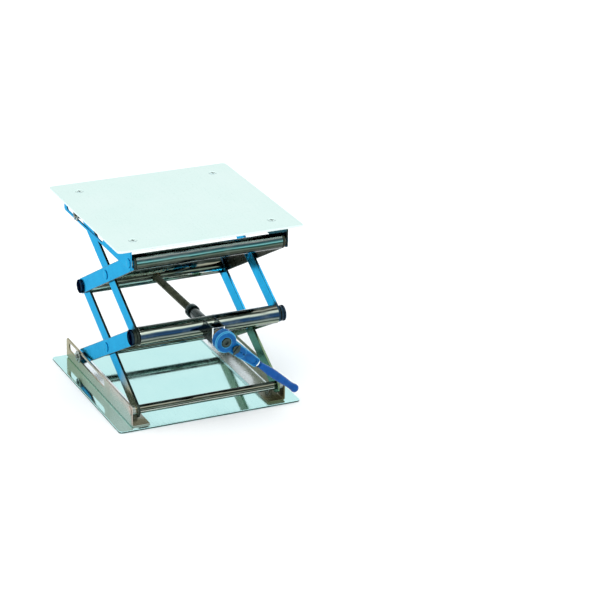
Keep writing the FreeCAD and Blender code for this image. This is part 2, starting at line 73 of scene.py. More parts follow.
record = frame["record"]
node_slot = {part["node"]: part["material_slot"] for part in record["subparts"]}
body_of_node = {n: body for body, members in record["behaviour"]["bodies"].items() for n in members}
joint_place = {j["name"]: Vector(j["pos_m"]) for j in frame["joints"]}


# ---- materials -----------------------------------------------------------------
def new_material(name):
    """An empty node material: (material, node tree, its Principled shader)."""
    mat = bpy.data.materials.new(name)
    mat.use_nodes = True
    tree = mat.node_tree
    tree.nodes.clear()
    output = tree.nodes.new("ShaderNodeOutputMaterial")
    shader = tree.nodes.new("ShaderNodeBsdfPrincipled")
    tree.links.new(shader.outputs["BSDF"], output.inputs["Surface"])
    return mat, tree, shader


def object_coords(tree, scale, turn=(0, 0, 0)):
    """Object coordinates times scale, so a scale of 1000 counts in millimetres."""
    coords = tree.nodes.new("ShaderNodeTexCoord")
    mapping = tree.nodes.new("ShaderNodeMapping")
    mapping.inputs["Scale"].default_value = scale
    mapping.inputs["Rotation"].default_value = turn
    tree.links.new(coords.outputs["Object"], mapping.inputs["Vector"])
    return mapping.outputs["Vector"]


def noise(tree, vector, scale, detail=3.0, roughness=0.5):
    node = tree.nodes.new("ShaderNodeTexNoise")
    node.inputs["Scale"].default_value = scale
    node.inputs["Detail"].default_value = detail
    node.inputs["Roughness"].default_value = roughness
    tree.links.new(vector, node.inputs["Vector"])
    return node.outputs["Fac"]


def spread(tree, value, low, high, to_low, to_high):
    """Maps value from low..high to to_low..to_high, clamped."""
    node = tree.nodes.new("ShaderNodeMapRange")
    node.inputs["From Min"].default_value = low
    node.inputs["From Max"].default_value = high
    node.inputs["To Min"].default_value = to_low
    node.inputs["To Max"].default_value = to_high
    tree.links.new(value, node.inputs["Value"])
    return node.outputs["Result"]


def math_node(tree, kind, first, second):
    node = tree.nodes.new("ShaderNodeMath")
    node.operation = kind
    for socket, value in zip(node.inputs, (first, second)):
        if isinstance(value, (int, float)):
            socket.default_value = value
        else:
            tree.links.new(value, socket)
    return node.outputs["Value"]


def add(tree, first, second):
    return math_node(tree, "ADD", first, second)


def blend_colours(tree, factor, first, second):
    node = tree.nodes.new("ShaderNodeMix")
    node.data_type = "RGBA"
    for socket, value in ((node.inputs[6], first), (node.inputs[7], second)):
        if isinstance(value, tuple):
            socket.default_value = value + (1.0,)
        else:
            tree.links.new(value, socket)
    tree.links.new(factor, node.inputs[0])
    return node.outputs[2]


def bump(tree, shader, height, strength, distance):
    node = tree.nodes.new("ShaderNodeBump")
    node.inputs["Strength"].default_value = strength
    node.inputs["Distance"].default_value = distance
    tree.links.new(height, node.inputs["Height"])
    tree.links.new(node.outputs["Normal"], shader.inputs["Normal"])


def scratches(tree, low, amount):
    """Fine slanting scratches: amount on a scratch, zero elsewhere."""
    lines = noise(tree, object_coords(tree, (1400, 60, 1100), (0.3, 0.5, 0.9)), 1.0, 1.0, 0.4)
    return spread(tree, lines, low, 0.78, 0.0, amount)


def fill_ramp(ramp, stops):
    """Gives a new colour ramp its (position, colour) stops."""
    elements = ramp.color_ramp.elements
    elements.remove(elements[-1])
    for k, (place, colour) in enumerate(stops):
        element = elements[0] if k == 0 else elements.new(place)
        element.position = place
        element.color = colour + (1.0,)


def metal(name, light, dark, gloss, grain, smudge=60.0, depth=0.010 * MM, scratch=0.5, tints=(),
          edge_tint=None):
    """Bare metal: rolling or polishing grain, hand smudges, fine scratches and specks.

    light and dark are the colours it varies between, gloss its (lowest, highest)
    roughness, grain the grain's frequency along each axis per millimetre, smudge the
    frequency of the smudges and depth the grain's depth. tints are (axis, colour,
    full, none): each colour fades out along one of the piece's own axes. edge_tint is
    the colour of grazing reflections.
    """
    mat, tree, shader = new_material(name)
    shader.inputs["Metallic"].default_value = 1.0
    per_mm = object_coords(tree, (1000 * grain[0], 1000 * grain[1], 1000 * grain[2]))
    plain = object_coords(tree, (1, 1, 1))
    streaks = noise(tree, per_mm, 1.0, 4.0, 0.6)
    smudges = noise(tree, plain, smudge, 4.0, 0.55)
    specks = noise(tree, plain, 900.0, 2.0, 0.5)
    mix = add(tree, spread(tree, smudges, 0.3, 0.7, 0.0, 0.6), spread(tree, streaks, 0.3, 0.7, 0.0, 0.4))
    body_colour = blend_colours(tree, mix, light, dark)
    if edge_tint:
        shader.inputs["Specular Tint"].default_value = edge_tint + (1.0,)
    for axis, colour, full, none in tints:
        split = tree.nodes.new("ShaderNodeSeparateXYZ")
        tree.links.new(plain, split.inputs["Vector"])
        waver = 0.08 * abs(none - full)
        ragged = add(tree, split.outputs[axis], spread(tree, smudges, 0.3, 0.7, -waver, waver))
        body_colour = blend_colours(tree, spread(tree, ragged, full, none, 1.0, 0.0), body_colour, colour)
    speck_mask = spread(tree, specks, 0.70, 0.76, 0.0, 0.55)
    spot = tuple(0.45 * c for c in dark)
    tree.links.new(blend_colours(tree, speck_mask, body_colour, spot), shader.inputs["Base Color"])
    rough = add(tree, spread(tree, smudges, 0.35, 0.7, *gloss), spread(tree, streaks, 0.3, 0.7, -0.02, 0.02))
    scratch_mask = scratches(tree, 0.72, scratch)
    rough = add(tree, rough, math_node(tree, "MULTIPLY", scratch_mask, 0.25))
    tree.links.new(rough, shader.inputs["Roughness"])
    height = math_node(tree, "SUBTRACT", streaks, scratch_mask)
    bump(tree, shader, height, 0.35, depth)
    return mat


def painted_reflection_bar(name, bands, gloss=(0.05, 0.13)):
    """Polished bar coloured with painted reflections: lengthwise bands of painted reflection round its section,
    waves, smudges and scratches.

    bands are (height of the surface's normal, colour of the painted reflection there), from the underside to the
    top.
    """
    mat, tree, shader = new_material(name)
    shader.inputs["Metallic"].default_value = 1.0
    coords = tree.nodes.new("ShaderNodeTexCoord")
    split = tree.nodes.new("ShaderNodeSeparateXYZ")
    tree.links.new(coords.outputs["Normal"], split.inputs["Vector"])
    plain = object_coords(tree, (1, 1, 1))
    waves = noise(tree, object_coords(tree, (28, 60, 60)), 1.0, 3.0, 0.55)
    lines = noise(tree, object_coords(tree, (25, 1500, 1500)), 1.0, 3.0, 0.6)
    smudges = noise(tree, plain, 75.0, 4.0, 0.55)
    specks = noise(tree, plain, 1100.0, 2.0, 0.5)
    height = add(tree, split.outputs["Z"], spread(tree, waves, 0.3, 0.7, -0.045, 0.045))
    height = add(tree, height, spread(tree, lines, 0.3, 0.7, -0.03, 0.03))
    ramp = tree.nodes.new("ShaderNodeValToRGB")
    tree.links.new(spread(tree, height, -1.0, 1.0, 0.0, 1.0), ramp.inputs["Fac"])
    fill_ramp(ramp, [((level + 1) / 2, colour) for level, colour in bands])
    dull_mask = spread(tree, smudges, 0.45, 0.75, 0.0, 0.35)
    dull = blend_colours(tree, dull_mask, ramp.outputs["Color"], (0.17, 0.20, 0.18))
    speck_mask = spread(tree, specks, 0.70, 0.76, 0.0, 0.6)
    tree.links.new(blend_colours(tree, speck_mask, dull, (0.03, 0.04, 0.035)), shader.inputs["Base Color"])
    scratch_mask = scratches(tree, 0.73, 0.4)
    scratched = math_node(tree, "MULTIPLY", scratch_mask, 0.2)
    tree.links.new(add(tree, spread(tree, smudges, 0.35, 0.7, *gloss), scratched), shader.inputs["Roughness"])
    bump(tree, shader, math_node(tree, "SUBTRACT", lines, scratch_mask), 0.3, 0.002 * MM)
    return mat


def paint(name, light, dark, gloss, peel_depth, coat=0.5, fleck=0.35, shine=0.5):
    """Glossy enamel or moulded plastic: orange peel, slight mottling, dust and rubbed spots."""
    mat, tree, shader = new_material(name)
    plain = object_coords(tree, (1, 1, 1))
    mottle = noise(tree, plain, 110.0, 4.0, 0.6)
    peel = noise(tree, plain, 700.0, 2.0, 0.5)
    dust = noise(tree, plain, 2600.0, 2.0, 0.6)
    body_colour = blend_colours(tree, spread(tree, mottle, 0.3, 0.7, 0.0, 1.0), light, dark)
    rubbed = tuple(min(1.0, 0.55 * c + 0.25) for c in light)
    dust_mask = spread(tree, dust, 0.68, 0.76, 0.0, fleck)
    tree.links.new(blend_colours(tree, dust_mask, body_colour, rubbed), shader.inputs["Base Color"])
    rough = add(tree, spread(tree, mottle, 0.3, 0.7, *gloss), math_node(tree, "MULTIPLY", dust_mask, 0.3))
    tree.links.new(rough, shader.inputs["Roughness"])
    shader.inputs["Specular IOR Level"].default_value = shine
    shader.inputs["Coat Weight"].default_value = coat
    shader.inputs["Coat Roughness"].default_value = 0.08
    bump(tree, shader, add(tree, peel, math_node(tree, "MULTIPLY", dust, 0.3)), 0.4, peel_depth)
    return mat


# The bars' bands below are painted reflections, dark and light, set by the height of the surface's normal.
BLACK = (0.010, 0.017, 0.013)
mid_bar_reflection_bands = [
    (-1.00, BLACK), (-0.70, BLACK), (-0.60, (0.30, 0.35, 0.27)), (-0.42, (0.30, 0.35, 0.27)),
    (-0.34, (0.045, 0.065, 0.050)), (-0.20, (0.030, 0.050, 0.035)), (-0.12, (0.24, 0.28, 0.25)),
    (-0.04, (0.15, 0.19, 0.18)), (0.06, (0.020, 0.038, 0.042)), (0.18, (0.010, 0.035, 0.085)),
    (0.40, (0.018, 0.050, 0.105)), (0.48, (0.09, 0.16, 0.20)), (0.54, (0.50, 0.56, 0.48)),
    (0.64, (0.55, 0.61, 0.53)), (0.70, (0.10, 0.11, 0.09)), (0.75, BLACK), (0.81, BLACK),
    (0.85, (0.24, 0.24, 0.20)), (0.885, (0.24, 0.24, 0.20)), (0.92, BLACK), (1.00, BLACK),
]
top_bar_reflection_bands = [
    (-1.00, BLACK), (-0.58, BLACK), (-0.48, (0.035, 0.045, 0.033)), (-0.22, (0.040, 0.052, 0.038)),
    (-0.12, (0.10, 0.13, 0.105)), (-0.03, (0.060, 0.090, 0.070)), (0.04, (0.010, 0.045, 0.033)),
    (0.13, (0.008, 0.045, 0.038)), (0.21, (0.12, 0.30, 0.30)), (0.32, (0.11, 0.27, 0.27)),
    (0.41, (0.020, 0.070, 0.080)), (0.52, (0.020, 0.060, 0.070)), (0.60, (0.14, 0.16, 0.16)),
    (0.66, (0.25, 0.26, 0.25)), (0.77, (0.26, 0.27, 0.25)), (0.83, (0.030, 0.030, 0.028)),
    (0.90, BLACK), (1.00, BLACK),
]
rear_bar_reflection_bands = [
    (-1.00, BLACK), (-0.60, BLACK), (-0.52, (0.26, 0.30, 0.24)), (-0.44, (0.22, 0.26, 0.21)), (-0.37, BLACK),
    (-0.31, BLACK), (-0.25, (0.62, 0.66, 0.60)), (-0.12, (0.58, 0.62, 0.56)), (-0.06, (0.020, 0.028, 0.022)),
    (0.14, (0.014, 0.022, 0.018)), (0.20, (0.16, 0.19, 0.15)), (0.27, (0.12, 0.15, 0.11)), (0.33, BLACK),
    (0.55, (0.050, 0.055, 0.035)), (0.66, (0.30, 0.30, 0.23)), (0.73, (0.26, 0.26, 0.20)), (0.79, BLACK),
    (1.00, BLACK),
]
# Tints the arms' grazing reflections blue, along with their painted blue reflection.
BLUE_SHEEN = (0.50, 0.78, 0.92)
EVEN_GRAIN = (1.0, 1.0, 1.0)
COARSE_GRAIN = (2.0, 2.0, 2.0)
ARM_GRAIN = (0.05, 2.2, 2.2)
RAIL_GRAIN = (2.4, 0.05, 2.4)
PLATE_GRAIN = (0.9, 0.02, 0.9)


def painted_blue_reflection_metal(name, tints=(), grain=ARM_GRAIN):
    """The arms' steel coloured with a painted blue reflection of blue surroundings, with other colours towards one
    end.
    """
    return metal(name, (0.022, 0.35, 0.63), (0.016, 0.285, 0.55), (0.16, 0.28), grain, edge_tint=BLUE_SHEEN,
                 tints=tints)


slot_material = {
    # The plates' pale cyan is a painted reflection of a cyan sky over the steel.
    "plate_steel": metal("plate_steel_looks", (0.76, 0.93, 0.90), (0.70, 0.90, 0.86), (0.05, 0.13),
                         PLATE_GRAIN, 22.0, 0.004 * MM),
    "rail_steel": metal("rail_steel_looks", (0.60, 0.52, 0.47), (0.47, 0.42, 0.36), (0.22, 0.34), RAIL_GRAIN,
                        45.0, tints=[("Y", (0.30, 0.27, 0.15), 90 * MM, -50 * MM)]),
    "arm_steel": painted_blue_reflection_metal("arm_steel_blue_reflection_looks"),
    "polished_bar": painted_reflection_bar("polished_bar_reflection_looks", mid_bar_reflection_bands),
    "fastener_steel": metal("fastener_steel_looks", (0.34, 0.37, 0.34), (0.18, 0.21, 0.19), (0.20, 0.36),
                            COARSE_GRAIN, 160.0),
    "roller_plastic": paint("roller_plastic_looks", (0.030, 0.030, 0.032), (0.014, 0.014, 0.016), (0.35, 0.5),
                            0.02 * MM, coat=0.0, fleck=0.2),
    "screw_steel": metal("screw_steel_looks", (0.060, 0.068, 0.042), (0.014, 0.019, 0.011), (0.16, 0.34),
                         (1.2, 0.6, 1.2), 120.0, scratch=0.3),
    "yoke_steel": metal("yoke_steel_looks", (0.022, 0.042, 0.042), (0.008, 0.016, 0.016), (0.16, 0.30),
                        (0.3, 2.0, 2.0), 90.0),
    "bush_brass": metal("bush_brass_looks", (0.15, 0.11, 0.055), (0.07, 0.05, 0.024), (0.2, 0.34),
                        COARSE_GRAIN, 150.0, 0.008 * MM),
    "wheel_steel": metal("wheel_steel_looks", (0.060, 0.085, 0.080), (0.022, 0.036, 0.034), (0.24, 0.4),
                         (1.5, 1.5, 1.5), 150.0, 0.012 * MM),
    "ratchet_paint": paint("ratchet_paint_looks", (0.002, 0.110, 0.330), (0.001, 0.060, 0.210), (0.14, 0.26),
                           0.05 * MM, coat=0.04, shine=0.12),
    "grip_plastic": paint("grip_plastic_looks", (0.001, 0.075, 0.300), (0.001, 0.045, 0.200), (0.18, 0.28),
                          0.03 * MM, coat=0.04, shine=0.12),
}
rear_bar_reflection_looks = painted_reflection_bar("rear_bar_reflection_looks", rear_bar_reflection_bands)
top_bar_reflection_looks = painted_reflection_bar("top_bar_reflection_looks", top_bar_reflection_bands)
bright_edge = metal("bright_edge_looks", (0.80, 0.86, 0.86), (0.60, 0.68, 0.67), (0.12, 0.24),
                    EVEN_GRAIN, 90.0, 0.006 * MM)
# Painted shade on cut and rounded edges: the arms', the base plate's and the top rails', and on the washers
# between the arms.
painted_shade_edge = metal("painted_shade_edge_looks", (0.045, 0.060, 0.050), (0.015, 0.022, 0.018), (0.3, 0.45),
                  EVEN_GRAIN, 90.0)
brown_edge = metal("brown_edge_looks", (0.140, 0.115, 0.065), (0.060, 0.055, 0.032), (0.24, 0.38), EVEN_GRAIN,
                   90.0)
# Painted highlight on the ratchet's rounded edges: a lighter blue.
highlight_edge_paint = paint("highlight_edge_paint_looks", (0.070, 0.36, 0.56), (0.025, 0.22, 0.42), (0.16, 0.3), 0.04 * MM,
                     coat=0.05, shine=0.2)
# The base plate: the plate steel painted darker and more cyan, painted shade under the top plate with a painted
# cyan reflection.
painted_shade_lower_plate = metal("painted_shade_lower_plate_looks", (0.54, 0.83, 0.82), (0.48, 0.79, 0.79), (0.05, 0.12),
                    PLATE_GRAIN, 22.0, 0.004 * MM)
# Painted shade on the arms' faces turned into the jack: olive over the half nearer the arm's start, dark at the
# far end.
painted_shade_half = ("X", (0.130, 0.200, 0.115), 78 * MM, 90 * MM)
painted_shade_end = ("X", (0.012, 0.030, 0.050), 157 * MM, 153 * MM)
# Olive painted shade all over, dark at the far end.
shaded_arm = metal("shaded_arm_looks", (0.155, 0.235, 0.135), (0.075, 0.135, 0.080), (0.2, 0.34), ARM_GRAIN,
                   tints=[painted_shade_end])
# Dark painted shadow all over.
painted_shadow_arm = metal("painted_shadow_arm_looks", (0.050, 0.052, 0.034), (0.020, 0.024, 0.016), (0.22, 0.36), ARM_GRAIN)
tan_end_arm = painted_blue_reflection_metal("tan_end_arm_looks", [("X", (0.46, 0.37, 0.23), 26 * MM, 50 * MM)])
# Painted blue reflection with painted shade: an olive half and a dark far end.
half_shaded_arm = painted_blue_reflection_metal("half_shaded_arm_looks", [painted_shade_half, painted_shade_end])
# Painted blue reflection with painted shade at the far end.
painted_shade_end_arm = painted_blue_reflection_metal("painted_shade_end_arm_looks", [painted_shade_end])
# Top rails' inner faces: the painted blue reflection with painted shade towards the front.
painted_shade_front_rail = painted_blue_reflection_metal("painted_shade_front_rail_looks", [("Y", (0.022, 0.030, 0.026), -30 * MM, -5 * MM)],
                             (2.2, 0.05, 2.2))
# Base rails' inner faces: olive painted shade, a pale painted reflection on the flange below about 4 mm, browner
# towards the front.
painted_shade_inner_rail = metal("painted_shade_inner_rail_looks", (0.150, 0.170, 0.095), (0.080, 0.100, 0.055), (0.24, 0.32), RAIL_GRAIN,
                   45.0, 0.006 * MM, 0.2, [("Z", (0.78, 0.85, 0.89), 3.7 * MM, 5.0 * MM),
                                           ("Y", (0.160, 0.150, 0.080), -84 * MM, -48 * MM)])
navy_cap = metal("navy_cap_looks", (0.022, 0.042, 0.065), (0.006, 0.014, 0.026), (0.14, 0.24),
                 (0.4, 2.0, 2.0), 160.0, 0.008 * MM, edge_tint=(0.12, 0.22, 0.32))
ferrule_looks = metal("ferrule_looks", (0.004, 0.06, 0.22), (0.003, 0.04, 0.15), (0.16, 0.28), COARSE_GRAIN,
                      150.0, 0.008 * MM, tints=[("X", (0.80, 0.86, 0.86), 47.0 * MM, 47.3 * MM)])
# The flush screws share the plates' painted cyan reflection, with painted shade in their recesses below the
# plate's face.
recess_top = cad_box[1].z - 0.55 * MM
recess_painted_shade = ("Z", (0.012, 0.016, 0.014), recess_top - 0.2 * MM, recess_top)
flush_screw = metal("flush_screw_looks", (0.74, 0.91, 0.88), (0.66, 0.84, 0.80), (0.10, 0.20),
                    (0.9, 0.9, 0.9), 90.0, 0.004 * MM, tints=[recess_painted_shade])


# ---- mesh helpers ------------------------------------------------------------------
def mesh_object(name, points, faces, materials, face_materials=None, sharp_angle=35.0):
    mesh = bpy.data.meshes.new(name)
    mesh.from_pydata([tuple(p) for p in points], [], faces)
    for mat in materials:
        mesh.materials.append(mat)
    if face_materials is not None:
        mesh.polygons.foreach_set("material_index", face_materials)
    mesh.validate()
    mesh.shade_smooth()
    mesh.set_sharp_from_angle(angle=math.radians(sharp_angle))
    obj = bpy.data.objects.new(name, mesh)
    scene.collection.objects.link(obj)
    return obj


def even_normals(obj):
    """Keeps large flat faces flat next to their small rounded edges."""
    modifier = obj.modifiers.new("even_normals", "WEIGHTED_NORMAL")
    modifier.keep_sharp = True
    modifier.weight = FLAT_BLEND
    return obj


def stand_for(obj, *nodes):
    """obj rides on the CAD nodes' body and replaces them."""
    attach(obj, body_of_node[nodes[0]])
    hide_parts(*nodes)
    return obj


def join_parts(name, parts, materials, sharp_angle=35.0):
    """One object from several (points, faces, face_materials) lists."""
    points, faces, slots = [], [], []
    for part_points, part_faces, part_slots in parts:
        start = len(points)
        points += part_points
        faces += [tuple(i + start for i in f) for f in part_faces]
        slots += part_slots
    return mesh_object(name, points, faces, materials, slots, sharp_angle)


def fine(node, parts, looks=None, sharp_angle=35.0):
    """The piece drawn for a CAD node, in its slot's looks unless others are given."""
    return join_parts(node + "_fine", parts, looks or [slot_material[node_slot[node]]], sharp_angle)


def fit(node, parts, looks=None, sharp_angle=35.0):
    """The piece drawn for a CAD node, put in its place."""
    return stand_for(fine(node, parts, looks, sharp_angle), node)


def arc(u, v, radius, first, sweep, steps):
    """Points along an arc, its angles in degrees, with both ends."""
    turns = [math.radians(first + sweep * k / steps) for k in range(steps + 1)]
    return [(u + radius * math.cos(t), v + radius * math.sin(t)) for t in turns]


def round_corners(points, radius, steps=4, closed=False):
    """The polyline with its corners replaced by arcs of at most this radius."""
    result = []
    count = len(points)
    for i, point in enumerate(points):
        if not closed and i in (0, count - 1):
            result.append(tuple(point))
            continue
        here = Vector(point)
        before = Vector(points[i - 1]) - here
        after = Vector(points[(i + 1) % count]) - here
        room = 0.49 * min(before.length, after.length)
        corner = before.angle(after)
        if radius <= 0 or corner > math.radians(178):
            result.append(tuple(point))
            continue
        back_off = min(room, radius / math.tan(corner / 2))
        real_radius = back_off * math.tan(corner / 2)
        middle = (before.normalized() + after.normalized()).normalized()
        centre = here + middle * (real_radius / math.sin(corner / 2))
        start = here + before.normalized() * back_off - centre
        end = here + after.normalized() * back_off - centre
        sweep = start.angle_signed(end, 0.0)
        for k in range(steps + 1):
            turn = -sweep * k / steps
            c, s = math.cos(turn), math.sin(turn)
            result.append((centre.x + c * start.x - s * start.y, centre.y + s * start.x + c * start.y))
    return result


def lathe_part(profile, axis, centre, closed=False, segments=ROUND_SEGMENTS, slots=None):
    """(points, faces, slots) of a profile of (along, radius) turned about an axis."""
    rows, points = [], []
    for along, radius in profile:
        count = 1 if radius < 1e-7 else segments
        row = []
        for k in range(count):
            turn = 2 * math.pi * k / segments
            a, b = radius * math.cos(turn), radius * math.sin(turn)
            offset = {"x": (along, a, b), "y": (b, along, a), "z": (a, b, along)}[axis]
            row.append(len(points))
            points.append(Vector(offset) + Vector(centre))
        rows.append(row)
    pairs = list(zip(rows, rows[1:]))
    if closed:
        pairs.append((rows[-1], rows[0]))
    faces, face_slots = [], []
    for index, (low, high) in enumerate(pairs):
        for k in range(segments):
            n = (k + 1) % segments
            if len(low) == 1 and len(high) == 1:
                continue
            if len(low) == 1:
                face = (low[0], high[n], high[k])
            elif len(high) == 1:
                face = (low[k], low[n], high[0])
            else:
                face = (low[k], low[n], high[n], high[k])
            faces.append(face)
            face_slots.append(slots[index] if slots else 0)
    return points, faces, face_slots


def solid_profile(steps, rounding, arc_steps=4):
    """Lathe profile of a stepped rod: steps are (start, end, radius) in order."""
    outline = [(steps[0][0], 0.0)]
    for start, end, radius in steps:
        outline += [(start, radius), (end, radius)]
    outline.append((steps[-1][1], 0.0))
    unique = [outline[0]] + [p for q, p in zip(outline, outline[1:]) if (Vector(p) - Vector(q)).length > 1e-9]
    return round_corners(unique, rounding, arc_steps)


def ring_profile(low, high, outer, inner, rounding, arc_steps=3):
    """Closed lathe profile of a ring."""
    corners = [(low, inner), (low, outer), (high, outer), (high, inner)]
    return round_corners(corners, rounding, arc_steps, closed=True)


def mirrored_x(part):
    points, faces, slots = part
    return [Vector((-p.x, p.y, p.z)) for p in points], [tuple(reversed(f)) for f in faces], list(slots)


def circle_loop(centre_u, centre_v, radius, count, hole=False):
    turns = [2 * math.pi * k / count for k in range(count)]
    loop = [(centre_u + radius * math.cos(t), centre_v + radius * math.sin(t)) for t in turns]
    return list(reversed(loop)) if hole else loop


def slot_loop(start_u, end_u, centre_v, radius, count=24):
    """A slot's outline along u."""
    return arc(end_u, centre_v, radius, -90, 180, count) + arc(start_u, centre_v, radius, 90, 180, count)


def cylinder(axis, low, high, radius, centre, segments=64):
    """A plain cylinder, for cutting holes."""
    return lathe_part([(low, 0), (low, radius), (high, radius), (high, 0)], axis, centre, segments=segments)


def inset(loop, amount):
    """The loop moved into the material, which lies on its left."""
    count = len(loop)
    result = []
    for i, (u, v) in enumerate(loop):
        into = Vector(loop[i]) - Vector(loop[i - 1])
        out = Vector(loop[(i + 1) % count]) - Vector(loop[i])
        n1 = Vector((-into.y, into.x)).normalized()
        n2 = Vector((-out.y, out.x)).normalized()
        shift = (n1 + n2) / max(0.3, 1 + n1.dot(n2))
        result.append((u + amount * shift.x, v + amount * shift.y))
    return result


def sheet_part(loops, low, high, edge_radius, place, fold_lines=(), steps=3, edge_slot=0, side_slot=0,
               low_slot=0, flip=False):
    """(points, faces, slots) of a sheet with rounded edges.

    loops are the outline and the holes in (u, v), with the material on their left.
    place turns (u, v, w) into a point, w running from low to high. fold_lines are
    pairs of indices into the outline that get an edge across the sheet. The slots are
    those of the rounded edges, the cut sides and the face at low.
    """
    rows = []
    for k in range(steps + 1):
        turn = math.radians(90 * k / steps)
        rows.append((edge_radius * (1 - math.sin(turn)), high - edge_radius * (1 - math.cos(turn))))
    rows += [(off, low + high - w) for off, w in reversed(rows)]
    points, faces, slots = [], [], []
    starts = []
    for off, w in rows:
        row_start = []
        for loop in loops:
            row_start.append(len(points))
            points += [place(u, v, w) for u, v in inset(loop, off)]
        starts.append(row_start)
    for r in range(len(rows) - 1):
        flat_side = r == steps
        for j, loop in enumerate(loops):
            count = len(loop)
            for i in range(count):
                n = (i + 1) % count
                a, b = starts[r][j], starts[r + 1][j]
                faces.append((a + i, b + i, b + n, a + n))
                slots.append(side_slot if flat_side else edge_slot)
    flat = [Vector(p) for loop in loops for p in inset(loop, edge_radius)]
    edges, index = [], 0
    for loop in loops:
        count = len(loop)
        edges += [(index + i, index + (i + 1) % count) for i in range(count)]
        index += count
    edges += list(fold_lines)
    got = delaunay_2d_cdt(flat, edges, [], 1, 1e-9)
    source = got[3]
    first, last = starts[0][0], starts[-1][0]
    for face in got[2]:
        ids = [source[i][0] if source[i] else -1 for i in face]
        if -1 in ids:
            continue
        middle = sum((flat[i] for i in ids), Vector((0, 0))) / len(ids)
        if any(inside(middle, inset(hole, edge_radius)) for hole in loops[1:]):
            continue
        area = sum(flat[ids[k - 1]].cross(flat[ids[k]]) for k in range(len(ids)))
        if area < 0:
            ids.reverse()
        faces.append(tuple(first + i for i in ids))
        faces.append(tuple(last + i for i in reversed(ids)))
        slots += [0, low_slot]
    if flip:
        faces = [tuple(reversed(f)) for f in faces]
    return points, faces, slots


def inside(point, loop):
    """Whether a point lies in a polygon."""
    hit = False
    for i in range(len(loop)):
        (ax, ay), (bx, by) = loop[i - 1], loop[i]
        if (ay > point.y) != (by > point.y) and point.x < (bx - ax) * (point.y - ay) / (by - ay) + ax:
            hit = not hit
    return hit


def carve(obj, cutters, sharp_angle=35.0):
    """Cuts the cutters' (points, faces, slots) out of obj, for good."""
    for part in cutters:
        tool = join_parts("cutter", [part], [])
        modifier = obj.modifiers.new("cut", "BOOLEAN")
        modifier.operation = "DIFFERENCE"
        modifier.solver = "EXACT"
        modifier.object = tool
        bpy.context.view_layer.update()
        done = bpy.data.meshes.new_from_object(obj.evaluated_get(bpy.context.evaluated_depsgraph_get()))
        obj.modifiers.clear()
        obj.data = done
        bpy.data.objects.remove(tool)
    obj.data.shade_smooth()
    obj.data.set_sharp_from_angle(angle=math.radians(sharp_angle))
    return obj


def box_middle(node):
    low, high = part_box(node)
    return (low + high) / 2


# ---- turned pieces --------------------------------------------------------------------
def tube(node, bore=None, looks=None):
    """A polished tube along X in place of a CAD bar, bored across for the screw if asked."""
    low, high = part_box(node)
    middle = box_middle(node)
    radius = (high.z - low.z) / 2
    profile = ring_profile(low.x, high.x, radius, radius - 1.5 * MM, 0.4 * MM)
    part = lathe_part(profile, "x", (0, middle.y, middle.z), closed=True, segments=128)
    obj = fine(node, [part], looks and [looks])
    if bore:
        carve(obj, [cylinder("y", -3 * radius, 3 * radius, bore, middle)])
    return stand_for(obj, node)


def stepped_rod(node, half_steps, looks, head_looks=None):
    """A rod along X, the same at both ends; half_steps are (end, radius) from the middle out."""
    middle = box_middle(node)
    right = []
    start = 0.0
    for end, radius in half_steps:
        right.append((start, end, radius))
        start = end
    left = [(-end, -begin, radius) for begin, end, radius in reversed(right)]
    steps = left[:-1] + [(left[-1][0], right[0][1], right[0][2])] + right[1:]
    profile = solid_profile(steps, 0.4 * MM)
    head_start = right[-1][0] - 0.01 * MM
    slots = [1 if min(abs(a[0]), abs(b[0])) > head_start else 0 for a, b in zip(profile, profile[1:])]
    part = lathe_part(profile, "x", (0, middle.y, middle.z), slots=slots)
    return fit(node, [part], [looks, head_looks or looks])


def ring_pair(node, spots, inner, looks):
    """Rings on both sides of the jack; spots are (low x, high x, radius, y, z) on the right."""
    parts = []
    for low_x, high_x, outer, y, z in spots:
        profile = ring_profile(low_x, high_x, outer, inner, 0.25 * MM)
        part = lathe_part(profile, "x", (0, y, z), closed=True, segments=64)
        parts += [part, mirrored_x(part)]
    return fit(node, parts, [looks])


def y_ring(node, outer, inner, rounding):
    """A ring along Y, as long as its CAD node and on the same axis."""
    low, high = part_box(node)
    middle = box_middle(node)
    profile = ring_profile(low.y, high.y, outer, inner, rounding)
    return lathe_part(profile, "y", (middle.x, 0, middle.z), closed=True, segments=72)


front_low = joint_place["lift"]
rear_mid = joint_place["rear_bar_pivot"]
front_mid = joint_place["front_bar_pivot"]
front_high = joint_place["platform_pivot"]
low_cross = joint_place["lower_crossing"]
high_cross = joint_place["upper_crossing"]
rear_low = Vector((0, rear_mid.y, front_low.z))
rear_high = Vector((0, rear_mid.y, front_high.z))
inner_arm_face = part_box("lower_inner_arm_right")[0].x
rail_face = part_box("base_rail_right")[1].x
mid_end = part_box("front_bar")[1].x
pin_radius = 3.0 * MM
head_radius = 5.0 * MM
head_end = rail_face + 0.8 * MM
screw_radius = 4.0 * MM
sleeve_radius = 5.6 * MM
nut_bore = 5.0 * MM

tube("front_bar", bore=sleeve_radius)
tube("rear_bar", bore=nut_bore, looks=rear_bar_reflection_looks)
tube("top_front_bar", looks=top_bar_reflection_looks)
stepped_rod("bottom_front_axle", [(mid_end, 4.5 * MM), (rail_face, pin_radius), (head_end, head_radius)],
            rear_bar_reflection_looks, slot_material["rail_steel"])
stepped_rod("top_front_axle", [(rail_face, pin_radius), (head_end, head_radius)], slot_material["arm_steel"])
for node in ("bottom_slide_axle", "top_slide_axle"):
    stepped_rod(node, [(mid_end, 4.0 * MM), (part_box(node)[1].x, pin_radius)], rear_bar_reflection_looks)


